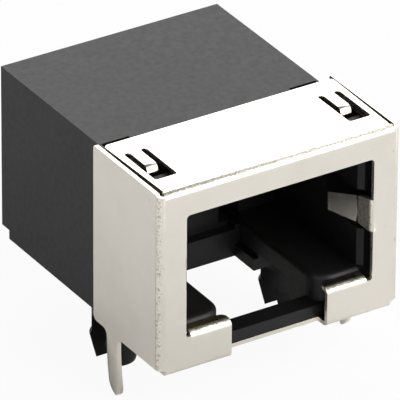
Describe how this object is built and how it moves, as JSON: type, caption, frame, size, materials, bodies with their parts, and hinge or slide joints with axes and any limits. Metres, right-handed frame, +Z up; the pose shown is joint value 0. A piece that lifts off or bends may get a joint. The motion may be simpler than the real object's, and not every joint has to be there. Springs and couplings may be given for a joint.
{
  "type": "rj45 board jack",
  "caption": "Right-angle modular network jack for a circuit board: moulded housing with a folded metal front shield, plug port, latch slot, locating pegs and solder tails.",
  "frame": {"origin": "on the board's top surface, midway between the axes of the two locating pegs", "axes": "+X across the port, +Y back from the port's mouth into the jack, +Z up from the board"},
  "size_m": [0.016, 0.0184, 0.0155],
  "materials": {
    "shield": "bright tin or nickel plating on thin sheet, with fine pits along the folds",
    "housing": "black glass-filled moulding, fine satin",
    "insert": "black moulding, satin",
    "contact": "thin gold plating on spring alloy"
  },
  "bodies": {
    "root": {"front_shield": "shield", "housing": "housing", "contact_insert": "insert", "contact_1": "contact", "contact_2": "contact", "contact_3": "contact", "contact_4": "contact", "contact_5": "contact", "contact_6": "contact", "contact_7": "contact", "contact_8": "contact"}
  },
  "joints": []
}
